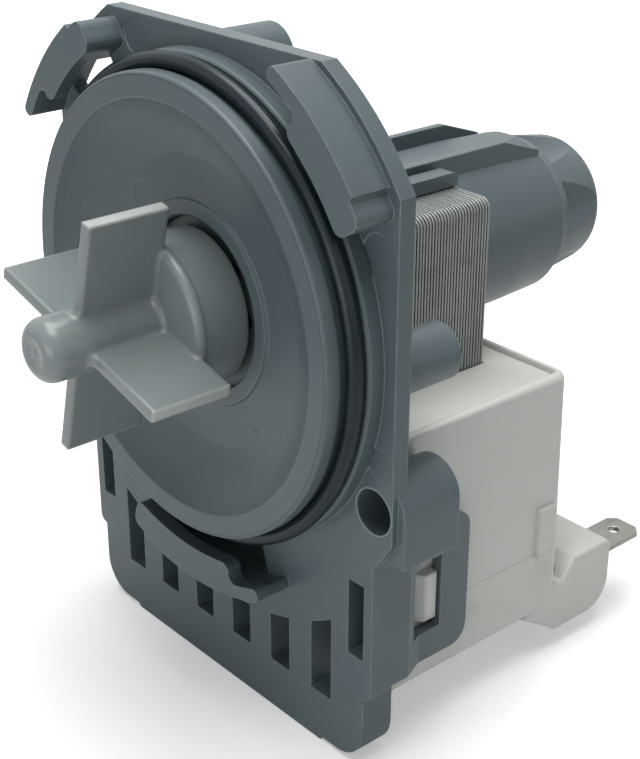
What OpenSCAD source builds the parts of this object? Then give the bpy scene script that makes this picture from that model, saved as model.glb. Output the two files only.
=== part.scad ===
// Dishwasher drain pump: bayonet front housing with a moulded-on rotor can,
// open impeller, two-pole synchronous motor with a U core and a white coil case.
// The pump axis is the Y axis. The impeller points to -Y and the motor to +Y.
// The origin is on the pump axis, at the front face of the mounting plate.

/* [Mounting plate] */
// Thickness of the plate
plate_t = 2.5; // [2:0.1:3.5]
// Half width of the upper plate
plate_half_w = 36.4; // [35.5:0.1:38]
// Height of the top edge above the pump axis
plate_top = 36.9; // [36:0.1:39]
// Radius of the cut-off corners about the pump axis
plate_corner_r = 43.2; // [42.8:0.1:45]
// Half width of the skirt below the round part
skirt_half_w = 33.0; // [32.6:0.1:34.5]
// Depth of the skirt, from the front face backwards
skirt_depth = 7.1; // [6:0.1:7.4]
// Lower end of the skirt below the axis
skirt_drop = 48.5; // [46:0.1:50]
// Half width of the foot
foot_half_w = 31.5; // [30:0.1:32.4]
// Lower edge of the foot below the axis
foot_drop = 61.2; // [59:0.1:64]
// Depth of the foot flange
foot_depth = 5.5; // [4.5:0.1:6.5]
// Corner radius of the foot
foot_corner_r = 5.4; // [3:0.1:8]
// How far the middle of the foot reaches below its corners
foot_pad = 0.6; // [0.2:0.1:1]
// Wall thickness of skirt, foot flange and ears
flange_wall = 1.6; // [1.2:0.1:2]

/* [Vent slots] */
// Number of slots in the row
slot_count = 6; // [4:2:6]
// Distance from one slot to the next
slot_pitch = 9.08; // [8.6:0.02:9.4]
// Width of a slot
slot_w = 4.3; // [3:0.1:5]
// Lower end of the slots below the axis
slot_drop = 53.6; // [52:0.1:55]
// Radius about the axis on which the slots start
slot_arc_r = 47.1; // [46:0.1:48]
// Width of the two side slots
side_slot_w = 3.1; // [2:0.1:4]
// Upper end of the side slots below the axis
side_slot_top = 31.6; // [30:0.1:34]
// Lower end of the side slots below the axis
side_slot_drop = 43.5; // [40:0.1:46]
// Thickness of the slotted band
band_t = 4.0; // [3:0.1:5]

/* [Spigot and bayonet hooks] */
// Radius of the spigot rim
rim_r = 32.4; // [31.9:0.1:33]
// How far the rim stands in front of the plate
rim_front = 7.6; // [7.2:0.1:8]
// Width of the rim
rim_w = 3.6; // [3:0.1:4.2]
// Thickness of the rim's lip in front of the seal
rim_lip_t = 2.4; // [2:0.1:2.8]
// Radius of the groove bottom under the seal
groove_r = 31.95; // [31.5:0.05:32.1]
// Width of the groove for the seal
groove_w = 2.7; // [2.4:0.1:3]
// Radius of the collar
collar_r = 34.4; // [34:0.1:35]
// Radius of the flat floor of the dish
pad_r = 20.8; // [18:0.1:24]
// How far the wall of the dish bows out of a plain cone
bowl_depth = 0.85; // [0.4:0.05:1.4]
// Radius of the ring round the hub opening
hub_ring_r = 14.9; // [14:0.1:16]
// Radius of the hub opening
hub_hole_r = 12.3; // [12.1:0.05:12.8]
// Outer radius of the bayonet hooks
hook_r = 42.3; // [41.8:0.1:42.7]
// Front face of the hooks, in front of the plate
hook_front = 5.9; // [5.5:0.1:6.6]
// Thickness of the hook lips
hook_lip_t = 2.3; // [1.8:0.1:2.6]
// Gap between the seal and the wide part of a hook lip
lip_gap = 2.6; // [2:0.1:3.2]
// How much further out the narrow part of a lip lies
lip_step = 3.2; // [2.9:0.1:3.4]
// Thickness of the outer wall of a hook
hook_wall = 1.7; // [1.3:0.1:2.1]

/* [Rotor can] */
// Outer radius of the can
can_r = 13.24; // [13.1:0.02:13.3]
// Radius of the bore in the can
can_bore_r = 11.9; // [11.7:0.05:12]
// Shoulder of the can behind the plate
can_shoulder = 59.0; // [57.5:0.1:61]
// Rear end of the nose
nose_end = 71.3; // [70:0.1:73]
// Radius of the nose
nose_r = 12.0; // [11.4:0.1:12.1]
// Number of flutes round the nose
nose_flutes = 6; // [4:1:8]

/* [Impeller] */
// Radius of the blade tips
blade_r = 17.75; // [16:0.05:19]
// Number of blades
blade_count = 4; // [3:1:6]
// Blade thickness
blade_t = 1.83; // [1.4:0.05:2.4]
// Front edge of the blades, in front of the plate
blade_front = 22.6; // [20:0.1:25]
// Rear edge of the blades, in front of the plate
blade_rear = 10.4; // [9.5:0.1:11]
// Turn of the blades out of the upright cross, in degrees
blade_turn = 15; // [0:1:45]
// Radius of the rounded nose
impeller_nose_r = 4.4; // [4:0.1:5]
// Tip of the nose, in front of the plate
impeller_tip = 28.7; // [27:0.1:30]
// Outer radius of the hub cup
cup_r = 11.5; // [11.2:0.05:11.6]
// Wall of the hub cup
cup_wall = 1.6; // [1.2:0.1:2]

/* [Rotor] */
// Shaft radius
shaft_r = 2.0; // [1.5:0.05:2.4]
// Outer radius of the magnet
magnet_r = 11.2; // [10:0.05:11.4]
// Length of the magnet
magnet_l = 30.0; // [26:0.5:34]
// Radius of the moulded rotor hub inside the magnet
rotor_hub_r = 4.5; // [4:0.1:6]
// Outer radius of the bearing bushes
bush_r = 4.0; // [3.4:0.1:4.4]
// Length of the bearing bushes
bush_l = 6.6; // [5.5:0.1:7]
// Width of a coupling tooth, in degrees
tooth_angle = 38; // [24:1:60]

/* [Motor core] */
// Half width of the lamination stack
core_half_w = 17.9; // [17.5:0.1:18.5]
// Front face of the stack behind the plate
core_front = 12.2; // [11.8:0.1:12.6]
// Thickness of the stack
core_t = 23.8; // [23:0.1:24.2]
// Top of the pole tips above the axis
core_top = 11.4; // [10.8:0.1:11.8]
// Lower edge of the core below the axis
core_drop = 51.5; // [50:0.1:51.6]
// Height of the yoke that joins the legs
yoke_h = 13.0; // [11:0.1:14]
// Half of the gap between the two legs
leg_gap_half = 4.1; // [3.6:0.1:5]
// Radius of the outer corners of the core
core_corner_r = 1.6; // [1:0.1:3]

/* [Coils and case] */
// Half width of the coil case
case_half_w = 29.75; // [29:0.05:29.8]
// Top of the case rim below the axis
case_top = 13.2; // [13:0.1:14]
// Underside of the case below the axis
case_drop = 53.2; // [52.8:0.1:54]
// Front face of the case behind the plate
case_front = 7.2; // [7.1:0.05:7.4]
// Rear face of the case at its top
case_rear = 42.1; // [41.4:0.1:43]
// How much further back the rear face lies at the bottom
case_draft = 1.2; // [0:0.1:2]
// Wall thickness of the case
case_wall = 1.5; // [1.2:0.05:1.6]
// Radius of the upright rear corners
case_corner_r = 2.7; // [1.6:0.1:4]
// Depth of the lid below the case rim
lid_recess = 0.85; // [0.5:0.05:1.5]
// Thickness of the lid
lid_t = 1.5; // [1:0.1:2]
// Wall thickness of the bobbins
bobbin_wall = 0.9; // [0.7:0.05:1]
// Height of the copper on a bobbin
winding_build = 2.0; // [1.5:0.05:2.1]
// Thickness of the tape over a winding
tape_t = 0.25; // [0.2:0.05:0.3]

/* [Terminals] */
// Width of the blade
blade_w = 6.3; // [4.8:0.1:6.3]
// Thickness of the blade
tab_t = 0.8; // [0.5:0.1:0.8]
// Tip of the blade behind the plate
tab_tip = 64.7; // [62:0.1:66]
// Width of a terminal block
block_w = 12.2; // [10:0.1:14]
// Rear face of the terminal blocks
block_rear = 55.4; // [53:0.1:57]
// Top of the terminal blocks below the axis
block_top = 46.5; // [45:0.1:47.5]
// Underside of the terminal blocks below the axis
block_drop = 58.5; // [57:0.1:60]

/* [Hidden] */
$fn = 96;

// Clearances
running = 0.05;
fit_gap = 0.15;
case_gap = 0.25;
free_gap = 0.4;
e = 0.01;

// Plate details
big = 100;
spigot_floor = 2.3;
recess_y = 0.3;
boss_top_z = 32;
boss_top_r = 4.7;
boss_top_y = 11;
boss_mid_x = 30.8;
boss_mid_z = -1.1;
boss_mid_r = 3.9;
boss_mid_y = 13.3;
screw_x = 32.9;
screw_z = -19.4;
screw_r = 3.2;
screw_depth = 6.5;
hood_r = 4.75;
hood_y = 11;
ear_drop = 26.5;
ear_rear = 19.9;
ear_corner_r = 3;
ear_inner_x = case_half_w + case_gap;
window_front = 8.7;
window_rear = 14.5;
window_top = 32.1;
window_drop = 43.8;
groove_front = rim_front - rim_lip_t;
collar_front = groove_front - groove_w;
spigot_back_r = groove_r - 2.3;
spigot_back_y = 3.6;
seal_section_r = groove_w / 2 - fit_gap;
seal_mid_r = groove_r + fit_gap + seal_section_r;
hook_wide_r = seal_mid_r + seal_section_r + lip_gap;
hook_narrow_r = hook_wide_r + lip_step;

// Each bayonet hook, as the angles of its stem end, its step and its tip
hook_places = [[30.4, 52.3, 61.5], [-109.7, -76, -67.5], [120.2, 142.3, 151.5]];
stem_angle = 7;
block_angle = 4.6;
block_step = 0.7;

// Round marks of the ejector pins, as X, Z, radius and face
ejector_marks = [[33.9, -12.2, 2.25, 0], [33, 15.5, 2.9, 0], [-16, 33.8, 2.7, 0],
                 [-12.9, 12.4, 2.15, -spigot_floor], [11.7, -13, 2.15, -spigot_floor]];
mark_depth = 0.12;

// Motor places
core_rear = core_front + core_t;
core_bore_r = can_r + case_gap;
tip_half = sqrt(core_bore_r * core_bore_r - core_top * core_top);
yoke_top = -core_drop + yoke_h;
lid_top = -case_top - lid_recess;
bobbin_top = lid_top - lid_t - fit_gap;
bobbin_low = yoke_top + fit_gap;
fin_w = 1.3;
fin_x = tip_half - fit_gap - fin_w / 2;
fin_top = 14.4;
can_top = 12.7;
flute_phase = 13;
flute_r = 9;
flute_floor = 9.8;

// Rotor places
magnet_front = core_front + core_t / 2 - magnet_l / 2;
magnet_rear = magnet_front + magnet_l;
flange_t = 1;
front_bush_y = -0.2;
rear_bush_y = can_shoulder - 1.3;
rear_mount_r = (bush_r + can_bore_r) / 2;
cup_front = blade_rear + 0.8;
cup_rear = 2.4;
hub_lid_t = 1.2;
chamber_r = cup_r - cup_wall;
tooth_r = chamber_r - free_gap;
dog_hub_r = shaft_r + 2.2;

// Guide rib on each side of the case
guide_w = 4.3;
guide_l = 7.6;
guide_rise = 0.9;
guide_drop = 41.8;

// Layers round the legs of the core, each measured from the leg
bobbin_grow = fit_gap + bobbin_wall;
winding_grow = bobbin_grow + winding_build;
tape_grow = winding_grow + tape_t;

// Terminal places
tab_x = case_half_w - block_w / 2 + 2;
tab_z = -block_top - 2.5;
tail_w = 3.2;
tail_y = 33;
tail_top = -37;
lead_run = 0.8 * blade_w;
lead_z = (2 * bobbin_low + bobbin_top) / 3;

// Things that stand along the pump axis
module along_axis(y) translate([0, y, 0]) rotate([-90, 0, 0]) children();

// A round profile of radius over Y, turned about the pump axis
module turned(points) rotate([-90, 0, 0]) rotate_extrude() polygon(points);

// A front-view outline (X, Z), extruded from y0 to y1
module slab(y0, y1) translate([0, y1, 0]) rotate([90, 0, 0]) linear_extrude(y1 - y0) children();

// A side-view outline (Y, Z), extruded from x0 to x1
module side_slab(x0, x1) translate([x0, 0, 0]) rotate([90, 0, 90]) linear_extrude(x1 - x0) children();

// A box from its lowest to its highest corner
module span(low, high) translate(low) cube(high - low);

// Both sides of the part
module both_sides() {
    children();
    mirror([1, 0, 0]) children();
}

// A tube round the pump axis
module ring(y0, y1, r_out, r_in) along_axis(y0) difference() {
    cylinder(r = r_out, h = y1 - y0);
    translate([0, 0, -e]) cylinder(r = r_in, h = y1 - y0 + 2 * e);
}

// The part of a round shape between two angles of the front view
module sector(y0, y1, a0, a1) {
    mid = (a0 + a1) / 2;
    far = big / cos((a1 - a0) / 2);
    slab(y0, y1) polygon([[0, 0], big * [cos(a0), sin(a0)], far * [cos(mid), sin(mid)],
                          big * [cos(a1), sin(a1)]]);
}

// A ring section between two angles
module arc_wall(y0, y1, r_out, r_in, a0, a1) intersection() {
    ring(y0, y1, r_out, r_in);
    sector(y0 - 1, y1 + 1, a0, a1);
}

// A rectangle with four round corners
module soft_rect(x0, z0, x1, z1, r) {
    translate([x0 + r, z0]) square([x1 - x0 - 2 * r, z1 - z0]);
    translate([x0, z0 + r]) square([x1 - x0, z1 - z0 - 2 * r]);
    for (x = [x0 + r, x1 - r], z = [z0 + r, z1 - r]) translate([x, z]) circle(r);
}

// Points of an arc in the profile plane
function arc(cx, cy, r, a0, a1, n) =
    [for (i = [0:n]) let (a = a0 + (a1 - a0) * i / n) [cx + r * cos(a), cy + r * sin(a)]];

// A point of the front view at a radius and an angle about the pump axis
function at(r, a) = r * [cos(a), sin(a)];

// Points along a circle about the pump axis, one every two degrees or so
function sweep(r, a0, a1) = let (n = ceil(abs(a1 - a0) / 2)) [for (i = [0:n]) at(r, a0 + (a1 - a0) * i / n)];

// Points of a rounded corner whose centre lies at a radius and an angle; 0 is outwards
function corner(r, a, c, from, to) =
    [for (i = [0:4]) at(r, a) + at(c, a + from + (to - from) * i / 4)];

// The angle that a length takes up on a radius
function span_angle(length, r) = length / r * 180 / PI;

// Pump housing

// Outline of the plate, the skirt and the foot, seen from the front
module plate_outline() {
    intersection() {
        translate([-plate_half_w, -ear_drop - 3]) square([2 * plate_half_w, plate_top + ear_drop + 3]);
        circle(plate_corner_r);
    }
    shoulder_r = skirt_half_w - foot_half_w - 0.1;
    soft_rect(-skirt_half_w, -skirt_drop - 0.8 * shoulder_r, skirt_half_w, -20, shoulder_r);
    foot_outline(0);
}

module foot_outline(inset) {
    soft_rect(-foot_half_w + inset, -foot_drop + inset, foot_half_w - inset,
              -skirt_drop + foot_corner_r + 1, foot_corner_r - inset);
    pad_half_w = foot_half_w - 8.5;
    soft_rect(-pad_half_w, -foot_drop - foot_pad + inset, pad_half_w, -foot_drop + 5, foot_pad);
}

// Side walls of the skirt, and the flange round the foot
module skirt() {
    both_sides() span([skirt_half_w - flange_wall, 0, -skirt_drop], [skirt_half_w, skirt_depth, -ear_drop]);
    difference() {
        slab(0, foot_depth) foot_outline(0);
        slab(plate_t, foot_depth + 1) foot_outline(flange_wall);
        span([-big, plate_t, -skirt_drop + 1], [big, big, 0]);
    }
    slab(0, band_t) intersection() {
        plate_outline();
        translate([-skirt_half_w + e, -slot_drop - 2])
            square([2 * skirt_half_w - 2 * e, slot_drop - side_slot_top + 4]);
    }
}

// The open slots in the lower plate
module vent_slots() {
    for (i = [0:slot_count - 1]) {
        x = (i - (slot_count - 1) / 2) * slot_pitch;
        difference() {
            span([x - slot_w / 2, -1, -slot_drop], [x + slot_w / 2, skirt_depth, 0]);
            along_axis(-2) cylinder(r = slot_arc_r, h = 2 * skirt_depth);
        }
    }
    both_sides() span([skirt_half_w - flange_wall - side_slot_w, -1, -side_slot_drop],
                      [skirt_half_w - flange_wall, band_t + 1, -side_slot_top]);
}

// Dish, hub opening, rim, seal groove and collar, as one turned profile. The wall of the dish
// is an arc through the edge of the floor and the inner edge of the rim.
module spigot() {
    edge_r = 0.5;
    edge = 0.3;
    low = [pad_r, -spigot_floor];
    high = [rim_r - rim_w, -rim_front + edge];
    run = norm(high - low);
    bowl_r = (run * run / 4 + bowl_depth * bowl_depth) / (2 * bowl_depth);
    centre = (low + high) / 2 + (bowl_r - bowl_depth) / run * [high[1] - low[1], low[0] - high[0]];
    turned(concat(
        [[hub_hole_r, plate_t], [hub_hole_r, -2.5], [hub_hole_r + edge, -2.8],
         [hub_ring_r - 0.4, -2.8], [hub_ring_r, -spigot_floor]],
        arc(centre[0], centre[1], bowl_r, atan2(low[1] - centre[1], low[0] - centre[0]),
            atan2(high[1] - centre[1], high[0] - centre[0]), 8),
        [[high[0] + edge / 3, -rim_front + edge / 3], [high[0] + edge, -rim_front]],
        arc(rim_r - edge_r, -rim_front + edge_r, edge_r, -90, 0, 4),
        [[rim_r, -groove_front - edge], [rim_r - edge, -groove_front],
         [groove_r, -groove_front], [groove_r, -collar_front],
         [collar_r - edge, -collar_front], [collar_r, -collar_front + edge], [collar_r, plate_t],
         [spigot_back_r, plate_t], [spigot_back_r, -spigot_back_y], [pad_r + 1.4, recess_y],
         [can_r + 1.6, recess_y], [can_r + 1.6, plate_t]]));
}

// Stiffening ribs behind the dish
module dish_ribs() for (i = [0:7]) rotate([0, 22.5 + 45 * i, 0]) translate([0, 0, -0.6])
    linear_extrude(1.2) polygon([[can_r + 1, recess_y - 1], [can_r + 1, plate_t],
                                 [spigot_back_r + 0.5, plate_t],
                                 [spigot_back_r + 0.5, -spigot_back_y - 0.5],
                                 [pad_r + 1.4, recess_y - 1]]);

// Front view of a bayonet hook: an end block, a wide lip, a step with round corners, a narrow tip
module hook_outline(start, step, finish) {
    block_r = hook_r - block_step;
    soft = 1.4;
    tip = 0.8;
    polygon(concat(
        corner(block_r - soft, start + span_angle(soft, block_r), soft, -90, 0),
        sweep(block_r, start + 2 * span_angle(soft, block_r), start + block_angle),
        sweep(hook_r, start + block_angle + 0.3, finish - 2 * span_angle(tip, hook_r)),
        corner(hook_r - tip, finish - span_angle(tip, hook_r), tip, 0, 90),
        corner(hook_narrow_r + tip, finish - span_angle(tip, hook_r), tip, 90, 180),
        sweep(hook_narrow_r, finish - 2 * span_angle(tip, hook_r), step + 2 * span_angle(soft, hook_r)),
        corner(hook_narrow_r - soft, step + span_angle(soft, hook_r), soft, 0, -90),
        corner(hook_wide_r + soft, step - span_angle(soft, hook_r), soft, 90, 180),
        sweep(hook_wide_r, step - 2 * span_angle(soft, hook_r), start + 3 * span_angle(soft, hook_r)),
        corner(hook_wide_r + soft, start + span_angle(soft, hook_r), soft, 180, 270)));
}

// The hook behind its lip is hollow: only the stem and the outer wall reach the plate
module hook(start, step, finish) difference() {
    slab(-hook_front, plate_t) hook_outline(start, step, finish);
    arc_wall(-hook_front + hook_lip_t, plate_t + 1, hook_r - hook_wall, hook_wide_r - 2,
             start + stem_angle, finish + 5);
}

// The opening in the plate that lets the lip be moulded
module hook_window(start, step) arc_wall(-1, plate_t + 1, hook_r - hook_wall, collar_r + 0.6,
                                         start + stem_angle, step + 2);

module hooks() for (place = hook_places) hook(place[0], place[1], place[2]);

module hook_windows() for (place = hook_places) hook_window(place[0], place[1]);

module ejector_dents() for (mark = ejector_marks) translate([mark[0], mark[3] - e, mark[1]])
    rotate([-90, 0, 0]) cylinder(r = mark[2], h = mark_depth + e);

// Side-view outline of the ear with its round rear corners
module ear_outline() {
    soft_rect(ear_rear - 8, -skirt_drop, ear_rear, -ear_drop, ear_corner_r);
    translate([plate_t, -skirt_drop]) square([ear_rear - 4 - plate_t, skirt_drop - ear_drop]);
}

// The springy ear that holds the coil case: it steps inwards behind the skirt
module ear() {
    outer = ear_inner_x + flange_wall;
    difference() {
        intersection() {
            translate([0, 0, -skirt_drop]) linear_extrude(skirt_drop - ear_drop)
                polygon([[skirt_half_w - flange_wall, 1], [skirt_half_w, 1], [skirt_half_w, skirt_depth],
                         [outer, skirt_depth + 3.4], [outer, ear_rear], [ear_inner_x, ear_rear],
                         [ear_inner_x, skirt_depth + 2.6], [skirt_half_w - flange_wall, skirt_depth - 0.6]]);
            side_slab(0, big) ear_outline();
        }
        span([ear_inner_x - 2, window_front, -window_drop], [skirt_half_w + 1, window_rear, -window_top]);
    }
}

// Screw boss with its hood down to the ear
module screw_hood() {
    translate([screw_x, 1, screw_z]) rotate([-90, 0, 0]) cylinder(r = hood_r, h = hood_y - 1);
    span([screw_x - hood_r, 1, -ear_drop], [screw_x + hood_r, hood_y, screw_z]);
}

module round_boss(x, z, r, rear) translate([x, 1, z]) rotate([-90, 0, 0]) cylinder(r = r, h = rear - 1);

// Closed can for the rotor, slightly flat on top, with the nose that holds the rear bearing
module can_outside() difference() {
    turned(concat(
        [[0, recess_y], [can_r + 1.6, recess_y], [can_r + 1.6, plate_t + 0.8], [can_r, plate_t + 2.4],
         [can_r, can_shoulder - 10], [can_r - 0.4, can_shoulder - 0.6], [can_r - 1.1, can_shoulder + 0.4],
         [nose_r, can_shoulder + 0.9]],
        arc(nose_r - 4.6, nose_end - 3.2, 3.2, 15, 90, 6),
        [[0, nose_end]]));
    span([-fin_x, plate_t + 3, can_top], [fin_x, can_shoulder + 2, big]);
}

// Hollow flutes that turn the round nose into ridges
module can_flutes() for (i = [0:nose_flutes - 1]) rotate([0, -flute_phase - 360 / nose_flutes * i, 0])
    translate([flute_floor + flute_r, can_shoulder + 1.1, 0]) rotate([-90, 0, -4]) cylinder(r = flute_r, h = 14);

module can_inside() {
    cup_end = rear_bush_y + bush_l + 1.2;
    turned([[0, -10], [hub_hole_r - e, -10], [hub_hole_r - e, 0.5], [can_bore_r, 0.5],
            [can_bore_r, rear_bush_y - 0.6], [rear_mount_r, rear_bush_y - 0.6],
            [rear_mount_r, cup_end], [bush_r, cup_end], [bush_r - 0.6, nose_end - 2.8], [0, nose_end - 2.8]]);
}

// The two long fins that lie between the pole tips, and the ribs above the tips
module can_ribs() both_sides() {
    side_slab(fin_x - fin_w / 2, fin_x + fin_w / 2)
        polygon([[plate_t - 1, 9.5], [plate_t - 1, fin_top], [can_shoulder - 8.8, fin_top],
                 [can_shoulder - 1, fin_top - 2.6], [can_shoulder - 1, 9.5]]);
    rib_x = tip_half + 0.9;
    rib_low = core_top + fit_gap;
    rib_top = core_top + 2.2;
    side_slab(rib_x, rib_x + 2.8) polygon(concat(
        [[plate_t - 1, rib_top], [plate_t - 1, rib_low], [core_rear + 0.3, rib_low]],
        arc(core_rear - 0.9, rib_top - 1.2, 1.2, 0, 90, 4)));
}

// Everything that is moulded round the plate, with room for the coil case between the ears
module front_frame() difference() {
    union() {
        difference() {
            slab(0, plate_t) plate_outline();
            along_axis(-1) cylinder(r = groove_r, h = plate_t + 2);
        }
        skirt();
        hooks();
        round_boss(0, boss_top_z, boss_top_r, boss_top_y);
        both_sides() {
            ear();
            screw_hood();
            round_boss(boss_mid_x, boss_mid_z, boss_mid_r, boss_mid_y);
        }
    }
    span([-ear_inner_x, skirt_depth, -case_drop - 1], [ear_inner_x, big, -case_top + case_gap]);
}

module pump_housing() color([0.34, 0.39, 0.41]) {
    difference() {
        union() {
            front_frame();
            spigot();
            dish_ribs();
            can_outside();
            can_ribs();
        }
        vent_slots();
        hook_windows();
        can_inside();
        can_flutes();
        ejector_dents();
        both_sides() along_axis(-1) translate([screw_x, -screw_z, 0]) cylinder(r = screw_r, h = screw_depth + 1);
    }
}

// Seals and bearings

module sump_seal() color([0.10, 0.12, 0.13]) rotate([-90, 0, 0]) rotate_extrude()
    translate([seal_mid_r, -(groove_front + collar_front) / 2]) circle(seal_section_r, $fn = 32);

module bush(y) color([0.25, 0.25, 0.27]) ring(y, y + bush_l, bush_r, shaft_r + running);

module front_bush() bush(front_bush_y);

module rear_bush() bush(rear_bush_y);

// Rubber mount of the front bush, with a lip over its front face
module front_bush_mount() color([0.12, 0.12, 0.12]) turned(
    [[bush_r, front_bush_y], [bush_r, front_bush_y + bush_l], [bush_r + 1.6, front_bush_y + bush_l],
     [bush_r + 1.6, front_bush_y - 0.8], [bush_r - 1, front_bush_y - 0.8], [bush_r - 1, front_bush_y]]);

// Rubber cup of the rear bush, closed behind the shaft
module rear_bush_mount() color([0.12, 0.12, 0.12]) turned(
    [[bush_r, rear_bush_y - 0.4], [rear_mount_r, rear_bush_y - 0.4],
     [rear_mount_r, rear_bush_y + bush_l + 1.2], [0, rear_bush_y + bush_l + 1.2],
     [0, rear_bush_y + bush_l + 0.3], [bush_r - 0.6, rear_bush_y + bush_l + 0.3],
     [bush_r - 0.6, rear_bush_y + bush_l], [bush_r, rear_bush_y + bush_l]]);

// Carrier of the front bearing: rim, web with water holes, and hub
module bearing_holder() color([0.80, 0.80, 0.76]) {
    seat = bush_r + 1.6;
    front = front_bush_y - 1;
    difference() {
        turned([[seat, front + 0.2], [seat - 0.6, front], [hub_hole_r - 0.1, front], [hub_hole_r - 0.1, 0.5],
                [can_bore_r, 0.5], [can_bore_r, 5.5], [can_bore_r - 1.3, 5.5], [can_bore_r - 1.3, 1.2],
                [seat + 1.3, 1.2], [seat + 1.3, front_bush_y + bush_l], [seat, front_bush_y + bush_l]]);
        for (i = [0:7]) rotate([0, 45 * i, 0]) translate([seat + 3, front - 1, 0]) rotate([-90, 0, 0])
            cylinder(r = 1.3, h = 4);
    }
}

// Impeller and its lost-motion coupling

// A blade in the plane of radius and Y, with a round inner corner at the nose
module blade_outline() {
    nose_fillet = 1.2;
    difference() {
        union() {
            translate([0, -blade_front]) square([blade_r, blade_front - blade_rear]);
            translate([0, -blade_front - nose_fillet])
                square([impeller_nose_r + nose_fillet - 0.1, nose_fillet + e]);
            translate([0, -blade_rear - 1]) square([cup_r - 0.6, 1.4]);
        }
        translate([impeller_nose_r + nose_fillet - 0.1, -blade_front - nose_fillet]) circle(nose_fillet);
    }
}

module blades() for (i = [0:blade_count - 1]) rotate([0, blade_turn - 90 + 360 / blade_count * i, 0])
    translate([0, 0, -blade_t / 2]) linear_extrude(blade_t) blade_outline();

// Nose, hub tube and cup, turned about the axis
module impeller_body() turned(concat(
    [[0, -impeller_tip + 0.6], [0.9, -impeller_tip + 0.6], [1.2, -impeller_tip + 0.1], [2.2, -impeller_tip]],
    arc(impeller_nose_r - 2.2, -impeller_tip + 2.2, 2.2, -80, 0, 5),
    [[impeller_nose_r, -blade_front], [impeller_nose_r - 0.3, -cup_front - 0.5],
     [impeller_nose_r + 0.3, -cup_front]],
    arc(cup_r - 0.9, -cup_front + 0.9, 0.9, -90, 0, 4),
    [[cup_r, -cup_front + 1.3], [cup_r - 0.15, -cup_front + 1.4], [cup_r - 0.5, -cup_rear],
     [chamber_r, -cup_rear], [chamber_r, -cup_front + 1.4], [shaft_r + running, -cup_front + 1.4],
     [shaft_r + running, -blade_front + 5], [0, -blade_front + 5]]));

module impeller() color([0.50, 0.52, 0.52]) {
    difference() {
        union() {
            impeller_body();
            blades();
        }
        along_axis(-cup_front + 1.4) cylinder(r = chamber_r, h = 12);
        along_axis(-blade_front + 5) cylinder(r = shaft_r + running, h = 12);
    }
    // Driven tooth
    arc_wall(-cup_front + 1.4 - e, -cup_rear - hub_lid_t, chamber_r + e, dog_hub_r + free_gap,
             90 - tooth_angle / 2, 90 + tooth_angle / 2);
}

module hub_lid() color([0.55, 0.56, 0.56]) ring(-cup_rear - hub_lid_t, -cup_rear, chamber_r, shaft_r + running);

// Driving tooth on the shaft, inside the hub cup
module drive_dog() color([0.75, 0.73, 0.62]) {
    front = -cup_front + 1.4 + free_gap;
    rear = -cup_rear - hub_lid_t - free_gap;
    ring(front, rear, dog_hub_r, shaft_r);
    arc_wall(front, rear, tooth_r, dog_hub_r - e, -90 - tooth_angle / 2, -90 + tooth_angle / 2);
}

// Rotor

module rotor_shaft() color([0.78, 0.79, 0.80]) {
    front = -blade_front + 5.6;
    rear = rear_bush_y + bush_l - 0.2;
    turned([[0, front], [shaft_r - 0.3, front], [shaft_r, front + 0.3], [shaft_r, rear - 0.3],
            [shaft_r - 0.3, rear], [0, rear]]);
}

// Plastic hub moulded through the magnet, with a flange at each end
module rotor_hub() color([0.16, 0.16, 0.17]) {
    rear = rear_bush_y - 1.9;
    flange_r = magnet_r - 1.6;
    turned([[shaft_r, magnet_front - flange_t], [flange_r, magnet_front - flange_t],
            [flange_r, magnet_front], [rotor_hub_r, magnet_front], [rotor_hub_r, magnet_rear],
            [flange_r, magnet_rear], [flange_r, magnet_rear + flange_t],
            [rotor_hub_r, magnet_rear + flange_t + 1], [rotor_hub_r - 0.9, rear], [shaft_r, rear]]);
}

module rotor_magnet() color([0.22, 0.22, 0.23]) turned(
    [[rotor_hub_r, magnet_front], [magnet_r - 0.5, magnet_front], [magnet_r, magnet_front + 0.5],
     [magnet_r, magnet_rear - 0.5], [magnet_r - 0.5, magnet_rear], [rotor_hub_r, magnet_rear]]);

// A thrust washer at each end of the rotor hub
module thrust_washers() color([0.85, 0.82, 0.70]) {
    washer_t = 0.6;
    for (y = [magnet_front - flange_t - washer_t - 0.1, rear_bush_y - 1.8])
        ring(y, y + washer_t, bush_r + 0.2, shaft_r + running);
}

// Stator

// U core: two legs with pole arcs round the can, joined by the yoke
module lamination_stack() color([0.58, 0.60, 0.59]) difference() {
    slab(core_front, core_rear) soft_rect(-core_half_w, -core_drop, core_half_w, core_top, core_corner_r);
    along_axis(core_front - 1) cylinder(r = core_bore_r, h = core_t + 2);
    span([-leg_gap_half, core_front - 1, yoke_top], [leg_gap_half, core_rear + 1, 0]);
}

// Front-view span of a leg, grown on all sides
module leg_prism(grow, z0, z1, r) translate([0, 0, z0]) linear_extrude(z1 - z0)
    soft_rect(leg_gap_half - grow, core_front - grow, core_half_w + grow, core_rear + grow, r);

module bobbin() color([0.86, 0.85, 0.80]) difference() {
    union() {
        leg_prism(bobbin_grow, bobbin_low, bobbin_top, 1);
        leg_prism(tape_grow - 0.1, bobbin_low, bobbin_low + bobbin_wall, 2);
        leg_prism(tape_grow - 0.1, bobbin_top - bobbin_wall, bobbin_top, 2);
    }
    leg_prism(fit_gap, bobbin_low - 1, bobbin_top + 1, 0.1);
}

// A layer round a leg, between the bobbin flanges
module layer(outer, inner) difference() {
    leg_prism(outer, bobbin_low + bobbin_wall, bobbin_top - bobbin_wall, 2);
    leg_prism(inner, bobbin_low, bobbin_top, inner == bobbin_grow ? 1 : 2);
}

module winding() color([0.72, 0.40, 0.20]) layer(winding_grow, bobbin_grow);

module bobbin_right() bobbin();

module bobbin_left() mirror([1, 0, 0]) bobbin();

module winding_right() winding();

module winding_left() mirror([1, 0, 0]) winding();

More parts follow.
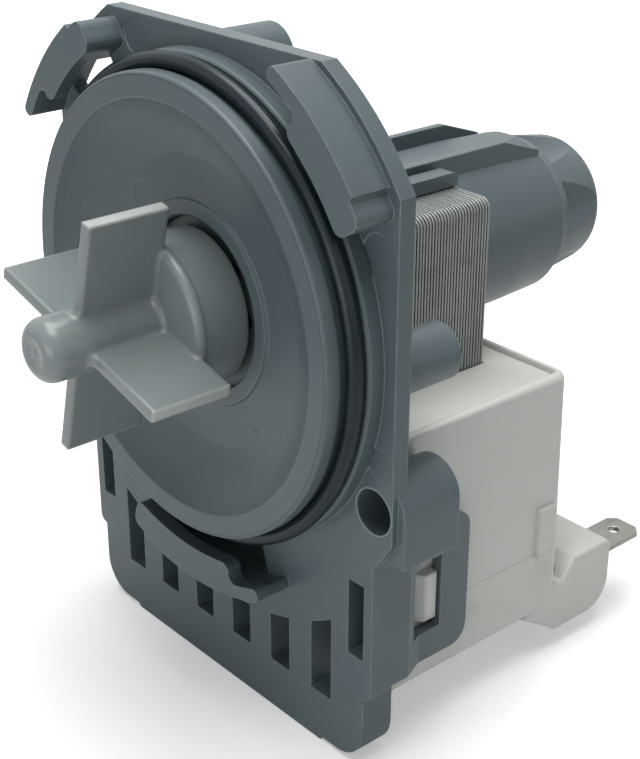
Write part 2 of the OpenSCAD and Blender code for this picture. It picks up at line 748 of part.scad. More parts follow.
module winding_tape() color([0.85, 0.78, 0.45]) both_sides() layer(tape_grow - 0.1, winding_grow);

// A straight wire from one point to another
module wire(from, to, r) {
    d = to - from;
    translate(from) rotate([0, acos(d[2] / norm(d)), atan2(d[1], d[0])]) cylinder(r = r, h = norm(d));
}

// The tinned lead from each winding to its terminal
module winding_leads() color([0.72, 0.40, 0.20]) both_sides()
    wire([core_half_w + tape_grow + 0.5, tail_y - lead_run, lead_z], [tab_x, tail_y - 0.5, tail_top + 0.8], 0.35);

// Coil case, lid and terminals

// Block round the case interior, between two heights, with a leaning rear wall and round corners
module case_block(inset, z0, z1) intersection() {
    span([-case_half_w + inset, case_front + inset, z0], [case_half_w - inset, big, z1]);
    translate([0, case_rear, -case_top]) rotate([atan2(case_draft, case_drop - case_top), 0, 0])
        linear_extrude(big, center = true)
            soft_rect(-case_half_w + inset, -case_rear, case_half_w - inset, -inset, case_corner_r - inset);
}

// Terminal block below the rear wall: ramp, flat top and round rear lower corner
module terminal_block() side_slab(case_half_w - block_w, case_half_w) polygon(concat(
    [[case_rear - 2, -case_drop + 2], [case_rear - 2, -block_top - 3.4], [case_rear + 2, -block_top - 3.4],
     [case_rear + 4.4, -block_top], [block_rear - 0.8, -block_top], [block_rear, -block_top - 0.8]],
    arc(block_rear - 5, -block_drop + 5, 5, 0, -90, 6),
    [[case_rear, -block_drop], [case_rear - 7.2, -case_drop]]));

// Outline of a terminal seen from above
module terminal_outline() {
    chamfer = 1.3;
    translate([tab_x, 0]) polygon(
        [[-tail_w / 2, tail_y], [tail_w / 2, tail_y], [tail_w / 2, case_rear + 4], [blade_w / 2, case_rear + 5],
         [blade_w / 2, tab_tip - chamfer], [blade_w / 2 - chamfer, tab_tip],
         [-blade_w / 2 + chamfer, tab_tip], [-blade_w / 2, tab_tip - chamfer],
         [-blade_w / 2, case_rear + 5], [-tail_w / 2, case_rear + 4]]);
}

module terminal() color([0.80, 0.81, 0.80]) {
    difference() {
        translate([0, 0, tab_z - tab_t]) linear_extrude(tab_t) terminal_outline();
        translate([tab_x, tab_tip - 3.5, tab_z - 2]) cylinder(r = 0.9, h = 4);
    }
    span([tab_x - tail_w / 2, tail_y, tab_z - e], [tab_x + tail_w / 2, tail_y + tab_t, tail_top]);
}

module terminal_right() terminal();

module terminal_left() mirror([1, 0, 0]) terminal();

// Snap tab in the window of the ear, and the guide rib near the rear corner
module case_side_details() {
    translate([0, 0, -window_drop + 1]) linear_extrude(window_drop - window_top - 2.6)
        polygon([[case_half_w - 1, window_front + 1.7], [case_half_w, window_front + 1.7],
                 [case_half_w + 1.4, window_front + 3.2], [case_half_w + 1.4, window_rear - 0.2],
                 [case_half_w - 1, window_rear - 0.2]]);
    side_slab(case_half_w - 1, case_half_w + guide_rise) {
        translate([case_rear - guide_w - 0.7, -guide_drop]) square([guide_w, guide_l]);
        translate([case_rear - guide_w / 2 - 0.7, -guide_drop]) circle(guide_w / 2);
    }
}

module coil_case() color([0.82, 0.83, 0.81]) difference() {
    union() {
        case_block(0, -case_drop, -case_top);
        both_sides() {
            terminal_block();
            case_side_details();
        }
    }
    case_block(case_wall, -case_drop + case_wall, 0);
    along_axis(case_front - 1) cylinder(r = core_bore_r, h = case_rear);
    both_sides() translate([0, 0, tab_z - tab_t]) linear_extrude(tab_t) terminal_outline();
}

module case_lid() color([0.84, 0.85, 0.83]) difference() {
    case_block(case_wall, lid_top - lid_t, lid_top);
    both_sides() leg_prism(fit_gap, -case_drop, 0, 0.1);
}

pump_housing();
sump_seal();
impeller();
hub_lid();
drive_dog();
rotor_shaft();
rotor_hub();
rotor_magnet();
thrust_washers();
front_bush();
front_bush_mount();
bearing_holder();
rear_bush();
rear_bush_mount();
lamination_stack();
bobbin_left();
bobbin_right();
winding_left();
winding_right();
winding_tape();
winding_leads();
coil_case();
case_lid();
terminal_left();
terminal_right();
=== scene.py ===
# %% [markdown]
# # A dishwasher drain pump, dressed for its portrait
#
# The pump's pieces come ready made, at their real size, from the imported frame. This script
# gives them what a construction model leaves out: the satin skin of moulded plastic, the bare
# edges of the motor's steel sheets, rounded edges, and the light of a small studio.
# Everything is in metres, with the pump axis along Y, the impeller towards -Y and Z up.

# %% Load the frame
import math
import random

import bpy
from mathutils import Matrix, Vector


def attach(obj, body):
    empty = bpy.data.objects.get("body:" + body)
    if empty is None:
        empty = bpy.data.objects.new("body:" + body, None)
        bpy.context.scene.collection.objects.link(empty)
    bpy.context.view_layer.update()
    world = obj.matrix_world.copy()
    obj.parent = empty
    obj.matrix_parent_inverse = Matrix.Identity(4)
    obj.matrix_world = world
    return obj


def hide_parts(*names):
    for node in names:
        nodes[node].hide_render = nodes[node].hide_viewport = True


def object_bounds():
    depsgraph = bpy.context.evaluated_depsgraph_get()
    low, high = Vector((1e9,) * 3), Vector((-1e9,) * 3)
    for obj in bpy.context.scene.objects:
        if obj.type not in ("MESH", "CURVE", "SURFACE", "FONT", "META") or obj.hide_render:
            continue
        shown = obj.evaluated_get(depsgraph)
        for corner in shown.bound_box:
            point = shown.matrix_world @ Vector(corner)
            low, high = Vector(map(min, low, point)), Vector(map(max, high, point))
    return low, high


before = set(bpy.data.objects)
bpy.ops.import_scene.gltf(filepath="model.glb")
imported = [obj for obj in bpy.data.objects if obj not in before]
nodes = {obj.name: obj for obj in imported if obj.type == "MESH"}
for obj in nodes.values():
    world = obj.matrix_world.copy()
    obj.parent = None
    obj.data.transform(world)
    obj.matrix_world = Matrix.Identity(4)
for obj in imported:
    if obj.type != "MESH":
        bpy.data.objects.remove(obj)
cad_low, cad_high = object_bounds()
MM = 0.001
print("pieces in the frame:", len(nodes))
print("size in mm:", [round(v / MM, 1) for v in cad_high - cad_low])

# %% [markdown]
# ## The camera
#
# A photograph's viewpoint could be matched by eye, by moving the camera until things line up.
# It is better worked out once from round and straight features of known shape, and then
# written down as an azimuth, an elevation, a small roll and a distance. The lens is given for
# the width of the picture, so the sensor fit is horizontal.

# %% Camera
view_azimuth = math.radians(48.971)
view_elevation = math.radians(25.059)
view_roll = math.radians(0.153)
camera_place = Vector((154.11, -114.62, 77.34)) * MM

lens = bpy.data.cameras.new("portrait_lens")
lens.sensor_fit = "HORIZONTAL"
lens.sensor_width = 36
lens.lens = 84.10
lens.clip_start = 10 * MM
camera = bpy.data.objects.new("portrait_camera", lens)
bpy.context.scene.collection.objects.link(camera)
camera.matrix_world = (
    Matrix.Translation(camera_place)
    @ Matrix.Rotation(view_azimuth, 4, "Z")
    @ Matrix.Rotation(math.pi / 2 - view_elevation, 4, "X")
    @ Matrix.Rotation(view_roll, 4, "Z")
)
bpy.context.scene.camera = camera
print("camera to axis origin in mm:", round(camera_place.length / MM))

# %% [markdown]
# ## Building node trees
#
# A material is a small graph. Placing nodes one by one takes four lines each, so a helper
# adds a node, sets its properties and fills its inputs, either with a plain value or with a
# link from another node's output. Sums, ranges and mixes of two colours come up again and
# again, so each has a helper too, which gives back the output. The graphs below then read like
# sentences.


# %% Helpers: nodes with their inputs
def place(tree, kind, inputs=None, **settings):
    node = tree.nodes.new(kind)
    for name, value in settings.items():
        setattr(node, name, value)
    for socket, value in (inputs or {}).items():
        if isinstance(value, bpy.types.NodeSocket):
            tree.links.new(value, node.inputs[socket])
        else:
            node.inputs[socket].default_value = value
    return node


def calc(tree, operation, *values, **settings):
    inputs = dict(enumerate(values))
    return place(tree, "ShaderNodeMath", inputs, operation=operation, **settings).outputs[0]


def in_range(tree, value, start, stop, low=0.0, high=1.0):
    inputs = {"Value": value, "From Min": start, "From Max": stop, "To Min": low, "To Max": high}
    return place(tree, "ShaderNodeMapRange", inputs).outputs[0]


def mixed(tree, share, first, second):
    inputs = {"Factor": share, "A": first, "B": second}
    return place(tree, "ShaderNodeMix", inputs, data_type="RGBA").outputs["Result"]


def new_group(name, inputs, outputs):
    tree = bpy.data.node_groups.new(name, "ShaderNodeTree")
    for socket, kind, value in inputs:
        made = tree.interface.new_socket(socket, in_out="INPUT", socket_type=kind)
        made.default_value = value
    for socket, kind in outputs:
        tree.interface.new_socket(socket, in_out="OUTPUT", socket_type=kind)
    given = tree.nodes.new("NodeGroupInput").outputs
    result = tree.nodes.new("NodeGroupOutput").inputs
    return tree, given, result


# %% [markdown]
# ## A moulded skin
#
# Moulded plastic is never one flat colour. The steel mould leaves a fine spark-eroded grain, the
# melt leaves broad cloudy patches of gloss, and a few specks of dust always sit on it. The
# three are one group, so that each plastic can have them at its own strength.

# %% Group: moulded skin
skin, given, result = new_group(
    "moulded_skin",
    [
        ("Colour", "NodeSocketColor", (0.5, 0.5, 0.5, 1)),
        ("Cloud", "NodeSocketFloat", 0.08),
        ("Grain per metre", "NodeSocketFloat", 5000.0),
        ("Roughness", "NodeSocketFloat", 0.4),
        ("Specks", "NodeSocketFloat", 0.3),
    ],
    [("Colour", "NodeSocketColor"), ("Roughness", "NodeSocketFloat"), ("Height", "NodeSocketFloat")],
)
dust_colour = (0.6, 0.6, 0.58, 1)
share_of_bare_cells = 0.82
gloss_swing = 0.22

where = place(skin, "ShaderNodeTexCoord").outputs["Object"]
clouds = place(skin, "ShaderNodeTexNoise", {"Vector": where, "Scale": 90.0, "Detail": 4.0})
grain = place(
    skin,
    "ShaderNodeTexNoise",
    {"Vector": where, "Scale": given["Grain per metre"], "Detail": 2.0, "Roughness": 0.6},
)
dust = place(skin, "ShaderNodeTexVoronoi", {"Vector": where, "Scale": 260.0, "Randomness": 1.0})
speck_size = in_range(skin, dust.outputs["Distance"], 0.045, 0.02)
rare = calc(skin, "GREATER_THAN", dust.outputs["Color"], share_of_bare_cells)
speck = calc(skin, "MULTIPLY", speck_size, rare)
speck_share = calc(skin, "MULTIPLY", speck, given["Specks"])
cloud_swing = calc(skin, "SUBTRACT", clouds.outputs["Fac"], 0.5)
tone = calc(skin, "MULTIPLY_ADD", cloud_swing, given["Cloud"], 1.0)
toned = place(skin, "ShaderNodeVectorMath", {0: given["Colour"], "Scale": tone}, operation="SCALE")
gloss = calc(skin, "MULTIPLY_ADD", cloud_swing, gloss_swing, given["Roughness"])
skin.links.new(mixed(skin, speck_share, toned.outputs[0], dust_colour), result["Colour"])
skin.links.new(gloss, result["Roughness"])
skin.links.new(grain.outputs["Fac"], result["Height"])
print("moulded_skin nodes:", len(skin.nodes))

# %% [markdown]
# ## Edges that catch the light
#
# Every moulded edge has a small radius, and hands rub it a little paler. The Bevel node turns
# the shading normal near an edge as a real radius would, and how far it turned tells where
# the edges are. That gives both the rounded highlight and a mask, with which the plastics
# paint their edges paler: partly real wear, partly a painted highlight.

# %% Group: rounded edge, and a mask for its painted highlight and wear
edge_tree, given, result = new_group(
    "edge_round_highlight_and_wear",
    [("Radius", "NodeSocketFloat", 0.0003), ("Breakup per metre", "NodeSocketFloat", 400.0)],
    [("Edge", "NodeSocketFloat"), ("Normal", "NodeSocketVector")],
)
where = place(edge_tree, "ShaderNodeTexCoord").outputs["Object"]
rounded = place(edge_tree, "ShaderNodeBevel", {"Radius": given["Radius"]}, samples=6).outputs[0]
flat = place(edge_tree, "ShaderNodeNewGeometry").outputs["Normal"]
turned = place(edge_tree, "ShaderNodeVectorMath", {0: rounded, 1: flat}, operation="DOT_PRODUCT")
near = in_range(edge_tree, turned.outputs["Value"], 0.995, 0.8)
patchy = place(
    edge_tree, "ShaderNodeTexNoise", {"Vector": where, "Scale": given["Breakup per metre"], "Detail": 3.0}
)
share = in_range(edge_tree, patchy.outputs["Fac"], 0.3, 0.7, low=0.35)
edge_tree.links.new(calc(edge_tree, "MULTIPLY", near, share), result["Edge"])
edge_tree.links.new(rounded, result["Normal"])
print("edge_round_highlight_and_wear nodes:", len(edge_tree.nodes))


# %% [markdown]
# ## Witness lines
#
# Where two halves of a steel mould meet, the plastic keeps a hair-thin line. It could be cut into
# the mesh, but it is far thinner than any face. It is better painted: a mask that is one on the
# line and falls to nothing beside it, fed with a height along an axis or a distance from it.

# %% Group: witness line
line_tree, given, result = new_group(
    "witness_line",
    [
        ("Along", "NodeSocketFloat", 0.0),
        ("Place", "NodeSocketFloat", 0.0),
        ("Half width", "NodeSocketFloat", 0.00012),
    ],
    [("Line", "NodeSocketFloat")],
)
away = calc(line_tree, "SUBTRACT", given["Along"], given["Place"])
apart = calc(line_tree, "ABSOLUTE", away)
steep = calc(line_tree, "DIVIDE", apart, given["Half width"])
line_tree.links.new(calc(line_tree, "SUBTRACT", 1.0, steep, use_clamp=True), result["Line"])
print("witness_line nodes:", len(line_tree.nodes))

# %% [markdown]
# ## Plastics
#
# The groups make every plastic of the pump. They differ in colour, in gloss, in how deep the
# grain is and in how pale the edges are painted: partly wear, partly a painted highlight. Gloss
# that is the same all over would stay on the shader's own socket. Here it varies with the clouds,
# so it is linked. A witness line is given as what it runs along, its place, its half width and
# the Y up to which it is seen. Where it runs round a middle point (X, Z), its place is a radius.
# The rims of holes and the tips of blades get a painted highlight in such rings, which mix in
# the pale edge colour.


# %% Helpers: colours, mould marks and painted highlight rings
def srgb(red, green, blue):
    def linear(value):
        value /= 255
        return value / 12.92 if value <= 0.04045 else ((value + 0.055) / 1.055) ** 2.4

    return (linear(red), linear(green), linear(blue), 1.0)


def witness_mask(tree, lines):
    where = place(tree, "ShaderNodeTexCoord").outputs["Object"]
    axes = place(tree, "ShaderNodeSeparateXYZ", {0: where}).outputs
    flat = place(tree, "ShaderNodeVectorMath", {0: where, 1: (1, 0, 1)}, operation="MULTIPLY")
    total = None
    for run, spot, half_width, rear in lines:
        if run in ("Y", "Z"):
            along = axes[run]
        else:
            ends = {0: flat.outputs[0], 1: (run[0] * MM, 0, run[1] * MM)}
            along = place(tree, "ShaderNodeVectorMath", ends, operation="DISTANCE").outputs["Value"]
        mark = place(
            tree,
            "ShaderNodeGroup",
            {"Along": along, "Place": spot * MM, "Half width": half_width * MM},
            node_tree=line_tree,
        )
        seen = calc(tree, "LESS_THAN", axes["Y"], rear * MM)
        shown = calc(tree, "MULTIPLY", mark.outputs[0], seen)
        total = calc(tree, "MAXIMUM", shown, total) if total else shown
    return total


# %% Helper: a moulded plastic
def moulded_plastic(
    name,
    colour,
    roughness,
    highlight_and_wear_colour,
    cloud=0.1,
    grain=5000,
    depth=0.01,
    radius=0.3,
    specks=0.3,
    shine=0.5,
    highlight_and_wear=0.5,
    lines=(),
    painted_highlight_rings=(),
):
    highlight_ring_strength, line_darkness, line_depth = 0.6, 0.5, -4.0
    material = bpy.data.materials.new(name)
    material.use_nodes = True
    tree = material.node_tree
    shader = tree.nodes["Principled BSDF"]
    face = place(
        tree,
        "ShaderNodeGroup",
        {
            "Colour": colour,
            "Cloud": cloud,
            "Grain per metre": grain,
            "Roughness": roughness,
            "Specks": specks,
        },
        node_tree=skin,
    )
    edge_node = place(tree, "ShaderNodeGroup", {"Radius": radius * MM}, node_tree=edge_tree)
    # Edges are painted paler: partly real wear, partly a painted highlight where edges catch the light
    highlight_and_wear_share = calc(tree, "MULTIPLY", edge_node.outputs["Edge"], highlight_and_wear)
    # The rings are a painted highlight round the rims of holes and the tips of blades
    if painted_highlight_rings:
        highlight_ring = calc(tree, "MULTIPLY", witness_mask(tree, painted_highlight_rings), highlight_ring_strength)
        highlight_and_wear_share = calc(tree, "MAXIMUM", highlight_and_wear_share, highlight_ring)
    base = mixed(tree, highlight_and_wear_share, face.outputs["Colour"], highlight_and_wear_colour)
    height = face.outputs["Height"]
    if lines:
        line = witness_mask(tree, lines)
        base = mixed(tree, calc(tree, "MULTIPLY", line, line_darkness), base, (0, 0, 0, 1))
        height = calc(tree, "MULTIPLY_ADD", line, line_depth, height)
    bump = place(
        tree,
        "ShaderNodeBump",
        {"Strength": 0.35, "Distance": depth * MM, "Height": height, "Normal": edge_node.outputs["Normal"]},
    )
    shader.inputs["Specular IOR Level"].default_value = shine
    tree.links.new(base, shader.inputs["Base Color"])
    tree.links.new(face.outputs["Roughness"], shader.inputs["Roughness"])
    tree.links.new(bump.outputs["Normal"], shader.inputs["Normal"])
    return material


# %% The plastics of the pump
screw_holes = [(32.9, -19.4), (-32.9, -19.4)]
housing_plastic = moulded_plastic(
    "blue_grey_housing",
    srgb(88, 100, 105),
    0.36,
    # pale edge colour: wear and a painted highlight along the housing's edges
    srgb(166, 176, 179),
    depth=0.02,
    radius=0.28,
    shine=0.36,
    highlight_and_wear=0.9,
    lines=[((0, 0), 31.9, 0.14, -7.0)],
    # painted highlight ring round each screw hole
    painted_highlight_rings=[(hole, 3.3, 0.2, 0.2) for hole in screw_holes],
)
impeller_plastic = moulded_plastic(
    "grey_impeller",
    srgb(128, 136, 137),
    0.24,
    # pale edge colour: mostly a painted highlight on the blade edges, with a little wear
    srgb(204, 208, 204),
    grain=7000,
    depth=0.004,
    radius=0.5,
    specks=0.0,
    highlight_and_wear=1.0,
    lines=[("Y", -9.85, 0.1, 0)],
    # painted highlight ring on the blade tips
    painted_highlight_rings=[((0, 0), 17.8, 0.5, 0)],
)
case_plastic = moulded_plastic(
    "off_white_case",
    srgb(198, 201, 196),
    0.42,
    srgb(212, 214, 209),
    cloud=0.05,
    depth=0.012,
    radius=0.5,
    specks=0.1,
    lines=[("Z", -42.0, 0.09, 60)],
)
bobbin_plastic = moulded_plastic("natural_bobbin", srgb(214, 208, 192), 0.5, srgb(226, 221, 208))
holder_plastic = moulded_plastic("grey_bearing_holder", srgb(88, 98, 102), 0.4, srgb(120, 130, 134))
acetal_plastic = moulded_plastic(
    "acetal_dog", srgb(214, 210, 194), 0.35, srgb(226, 223, 212), depth=0.005
)
rotor_plastic = moulded_plastic("black_rotor_hub", srgb(46, 46, 48), 0.4, srgb(84, 84, 86))
tape_film = moulded_plastic(
    "yellow_tape", srgb(218, 196, 118), 0.25, srgb(230, 214, 150), depth=0.004
)
print("plastics:", len(bpy.data.materials))

# %% [markdown]
# ## Rubber
#
# The sealing ring is dense black rubber. It is darker and smoother than the plastic, with a
# soft broad highlight and a film of dust in its fine pores.


# %% Rubber
def black_rubber(name, colour, roughness):
    film_colour, film_strength = srgb(84, 92, 96), 0.07
    material = bpy.data.materials.new(name)
    material.use_nodes = True
    tree = material.node_tree
    shader = tree.nodes["Principled BSDF"]
    where = place(tree, "ShaderNodeTexCoord").outputs["Object"]
    pores = place(tree, "ShaderNodeTexNoise", {"Vector": where, "Scale": 2600.0, "Detail": 3.0})
    film = place(tree, "ShaderNodeTexNoise", {"Vector": where, "Scale": 120.0, "Detail": 5.0})
    dusty = in_range(tree, film.outputs["Fac"], 0.45, 0.8)
    base = mixed(tree, calc(tree, "MULTIPLY", dusty, film_strength), colour, film_colour)
    matt = in_range(tree, film.outputs["Fac"], 0, 1, roughness - 0.04, roughness + 0.06)
    bump = place(
        tree, "ShaderNodeBump", {"Strength": 0.3, "Distance": 0.01 * MM, "Height": pores.outputs["Fac"]}
    )
    tree.links.new(base, shader.inputs["Base Color"])
    tree.links.new(matt, shader.inputs["Roughness"])
    tree.links.new(bump.outputs["Normal"], shader.inputs["Normal"])
    shader.inputs["Specular IOR Level"].default_value = 0.3
    return material


seal_rubber = black_rubber("seal_rubber", srgb(19, 32, 40), 0.28)
mount_rubber = black_rubber("mount_rubber", srgb(40, 40, 42), 0.55)
print("seal_rubber and mount_rubber made")

# %% [markdown]
# ## Metals and the sintered pieces
#
# Stamped steel, ground steel, tinned brass and enamelled copper are all the same shader with a
# metallic value near one. What tells them apart is the pattern that the making left: long
# scratches along one axis for a rolled or ground surface, cloudy spots for tin, and turns of
# wire for the coil. One helper stretches a noise along an axis to make such marks.


# %% Helper: a worked metal
def worked_metal(name, colour, dark, roughness, stretch, scale, depth=0.01, metallic=1.0):
    material = bpy.data.materials.new(name)
    material.use_nodes = True
    tree = material.node_tree
    shader = tree.nodes["Principled BSDF"]
    shader.inputs["Metallic"].default_value = metallic
    where = place(tree, "ShaderNodeTexCoord").outputs["Object"]
    along = place(tree, "ShaderNodeMapping", {"Vector": where, "Scale": stretch}).outputs[0]
    marks = place(tree, "ShaderNodeTexNoise", {"Vector": along, "Scale": scale, "Detail": 5.0})
    stains = place(tree, "ShaderNodeTexNoise", {"Vector": where, "Scale": 220.0, "Detail": 4.0})
    base = mixed(tree, in_range(tree, stains.outputs["Fac"], 0.4, 0.75), colour, dark)
    matt = in_range(tree, marks.outputs["Fac"], 0, 1, roughness - 0.1, roughness + 0.15)
    edge_node = place(tree, "ShaderNodeGroup", {"Radius": 0.12 * MM}, node_tree=edge_tree)
    bump = place(
        tree,
        "ShaderNodeBump",
        {
            "Strength": 0.4,
            "Distance": depth * MM,
            "Height": marks.outputs["Fac"],
            "Normal": edge_node.outputs["Normal"],
        },
    )
    tree.links.new(base, shader.inputs["Base Color"])
    tree.links.new(matt, shader.inputs["Roughness"])
    tree.links.new(bump.outputs["Normal"], shader.inputs["Normal"])
    return material


# %% The metals of the pump
sheet_steel = worked_metal(
    "stamped_sheets", srgb(150, 154, 152), srgb(136, 139, 136), 0.42, (1, 1, 0.06), 4200, metallic=0.7
)
shaft_steel = worked_metal(
    "ground_shaft", srgb(206, 208, 210), srgb(186, 188, 190), 0.2, (1, 8, 1), 900, depth=0.002
)
tinned_brass = worked_metal(
    "tinned_blade", srgb(154, 157, 149), srgb(134, 137, 129), 0.36, (1, 0.1, 1), 3000, depth=0.005
)
copper_wire = worked_metal(
    "enamelled_wire", srgb(196, 118, 66), srgb(150, 80, 42), 0.32, (0.05, 0.05, 1), 6500, depth=0.05
)
ferrite = worked_metal(
    "sintered_magnet", srgb(72, 72, 74), srgb(52, 52, 54), 0.6, (1, 1, 1), 2500, metallic=0.3
)
bush_ceramic = worked_metal(
    "sintered_bush", srgb(96, 94, 90), srgb(70, 68, 66), 0.5, (1, 1, 1), 3500, metallic=0.5
)
print("materials:", len(bpy.data.materials))

# %% [markdown]
# ## Shaping by hand
#
# The pieces that follow are modelled as one would at the screen: add a primitive, pick edges or
# faces, and bevel, inset or extrude them. A script can't point with a mouse, so it picks by
# place, with a test on the points of an edge or face in millimetres. Every piece ends with its
# place in its mesh and its object at the origin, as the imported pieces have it.


# %% Helpers: pick and apply
def alone(piece):
    bpy.ops.object.select_all(action="DESELECT")
    piece.select_set(True)
    bpy.context.view_layer.objects.active = piece


def pick(piece, kind, test):
    alone(piece)
    mesh = piece.data
    for parts in (mesh.vertices, mesh.edges, mesh.polygons):
        parts.foreach_set("select", [False] * len(parts))
    spots = [vertex.co / MM for vertex in mesh.vertices]
    if kind == "VERT":
        for vertex in mesh.vertices:
            vertex.select = test(spots[vertex.index])
    else:
        for part in mesh.edges if kind == "EDGE" else mesh.polygons:
            part.select = all(test(spots[index]) for index in part.vertices)
    bpy.context.tool_settings.mesh_select_mode = [kind == each for each in ("VERT", "EDGE", "FACE")]
    bpy.ops.object.mode_set(mode="EDIT")


def done():
    bpy.ops.object.mode_set(mode="OBJECT")


def round_edges(piece, test, radius, segments=3, along=None):
    # With along, only the edges that run along that axis are kept of those picked
    pick(piece, "EDGE", test)
    if along is not None:
        done()
        mesh = piece.data
        for parts in (mesh.vertices, mesh.polygons):
            parts.foreach_set("select", [False] * len(parts))
        for edge in mesh.edges:
            ends = [mesh.vertices[index].co for index in edge.vertices]
            span = [abs(a - b) for a, b in zip(*ends)]
            edge.select = edge.select and span[along] == max(span)
        bpy.ops.object.mode_set(mode="EDIT")
    bpy.ops.mesh.bevel(offset=radius * MM, segments=segments, affect="EDGES")
    done()


def modify(piece, kind, **settings):
    alone(piece)
    tool = piece.modifiers.new(kind.lower(), kind)
    for name, value in settings.items():
        setattr(tool, name, value)
    bpy.ops.object.modifier_apply(modifier=tool.name)


def soften(piece, width, segments, angle):
    sharp = math.radians(angle)
    modify(
        piece, "BEVEL", width=width * MM, segments=segments, limit_method="ANGLE", angle_limit=sharp
    )


def carve(piece, tool, operation="DIFFERENCE"):
    modify(piece, "BOOLEAN", object=tool, operation=operation, solver="EXACT")
    bpy.data.objects.remove(tool, do_unlink=True)


# %% Helpers: starting shapes
def settle(piece, name):
    piece.name = name
    piece.data.name = name
    alone(piece)
    bpy.ops.object.transform_apply(location=True, rotation=True, scale=True)
    return piece


def block(name, low, high):
    low, high = Vector(low) * MM, Vector(high) * MM
    bpy.ops.mesh.primitive_cube_add(size=1, location=(low + high) / 2, scale=high - low)
    return settle(bpy.context.object, name)


def round_bar(name, radius, middle, length):
    bpy.ops.mesh.primitive_cylinder_add(
        vertices=160,
        radius=radius * MM,
        depth=length * MM,
        location=Vector(middle) * MM,
        rotation=(math.pi / 2, 0, 0),
    )
    return settle(bpy.context.object, name)


def ball(name, radius, middle):
    bpy.ops.mesh.primitive_uv_sphere_add(
        segments=96, ring_count=64, radius=radius * MM, location=Vector(middle) * MM
    )
    return settle(bpy.context.object, name)


def drawn(name, outline, x0, x1):
    # An outline drawn in side view (Y, Z), filled and pulled out along X
    bpy.ops.mesh.primitive_circle_add(vertices=len(outline), radius=MM, fill_type="NGON")
    piece = bpy.context.object
    for vertex, (y, z) in zip(piece.data.vertices, outline):
        vertex.co = Vector((x0, y, z)) * MM
    pick(piece, "FACE", lambda spot: True)
    bpy.ops.mesh.extrude_region_move(TRANSFORM_OT_translate={"value": ((x1 - x0) * MM, 0, 0)})
    bpy.ops.mesh.select_all(action="SELECT")
    bpy.ops.mesh.normals_make_consistent(inside=False)
    done()
    return settle(piece, name)


# %% Helpers: copies
def twin(piece, shift=(0, 0, 0), mirrored=False):
    other = bpy.data.objects.new(piece.name + "_twin", piece.data.copy())
    bpy.context.scene.collection.objects.link(other)
    other.data.transform(Matrix.Translation(Vector(shift) * MM))
    if mirrored:
        other.data.transform(Matrix.Scale(-1, 4, (1, 0, 0)))
        pick(other, "FACE", lambda spot: True)
        bpy.ops.mesh.normals_make_consistent(inside=False)
        done()
    return other


def merged_copy(name, new_name):
    piece = bpy.data.objects.new(new_name, nodes[name].data.copy())
    bpy.context.scene.collection.objects.link(piece)
    piece.data.name = new_name
    pick(piece, "VERT", lambda spot: True)
    bpy.ops.mesh.remove_doubles(threshold=0.005 * MM)
    bpy.ops.mesh.dissolve_limited(angle_limit=math.radians(1))
    done()
    return piece


# %% Helpers: material and place in the frame
def finish_with(piece, material):
    piece.data.materials.clear()
    piece.data.materials.append(material)


def hand_over(piece, material, body, *packed, smooth=35):
    alone(piece)
    bpy.ops.object.shade_smooth_by_angle(angle=math.radians(smooth))
    finish_with(piece, material)
    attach(piece, body)
    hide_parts(*packed)
    print(piece.name, "stands for", packed, "with", len(piece.data.polygons), "faces")


# %% [markdown]
# ## Dressing the frame
#
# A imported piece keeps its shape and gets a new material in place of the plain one. The table
# says which piece is made of what, as a parts list would.

# %% Which piece is made of what
made_of = {
    "pump_housing": housing_plastic,
    "sump_seal": seal_rubber,
    "impeller": impeller_plastic,
    "hub_lid": impeller_plastic,
    "drive_dog": acetal_plastic,
    "rotor_shaft": shaft_steel,
    "rotor_hub": rotor_plastic,
    "rotor_magnet": ferrite,
    "thrust_washers": acetal_plastic,
    "front_bush": bush_ceramic,
    "front_bush_mount": mount_rubber,
    "bearing_holder": holder_plastic,
    "rear_bush": bush_ceramic,
    "rear_bush_mount": mount_rubber,
    "lamination_stack": sheet_steel,
    "bobbin_left": bobbin_plastic,
    "bobbin_right": bobbin_plastic,
    "winding_left": copper_wire,
    "winding_right": copper_wire,
    "winding_tape": tape_film,
    "winding_leads": copper_wire,
    "coil_case": case_plastic,
    "case_lid": case_plastic,
    "terminal_left": tinned_brass,
    "terminal_right": tinned_brass,
}

for name, material in made_of.items():
    finish_with(nodes[name], material)
print("dressed", len(made_of), "of", len(nodes), "pieces")

# %% [markdown]
# ## The laminated core
#
# A motor core is a pile of thin stamped sheets, so that eddy currents stay small. Painting lines
# on a solid block would do from far away, but the rounded top corner shows every sheet's edge.
# One sheet is cut as the press does: a plate with rounded corners, the bore for the rotor can
# and the gap between the legs. It is then copied for the whole pile, each a hair out of line.

# %% One sheet of the core
core_half_w, core_front, core_t, core_top, core_drop = 17.84, 12.2, 23.8, 11.34, 51.44
core_corner_r, burr = 1.6, 0.07
can_room_r = 13.49
leg_gap_half_w, leg_gap_low = 4.1, -38.5
sheet_count, groove = 41, 0.2
pitch = core_t / sheet_count
sheet_t = pitch - groove

sheet = block(
    "lamination_sheets",
    (-core_half_w, core_front, -core_drop),
    (core_half_w, core_front + sheet_t, core_top),
)
round_edges(sheet, lambda s: True, core_corner_r, 6, along=1)
carve(sheet, round_bar("rotor_bore", can_room_r, (0, core_front, 0), 8))
leg_gap = block(
    "leg_gap", (-leg_gap_half_w, core_front - 2, leg_gap_low), (leg_gap_half_w, core_front + 2, 0)
)
carve(sheet, leg_gap)
soften(sheet, burr, 1, 60)
print("faces in a sheet:", len(sheet.data.polygons))

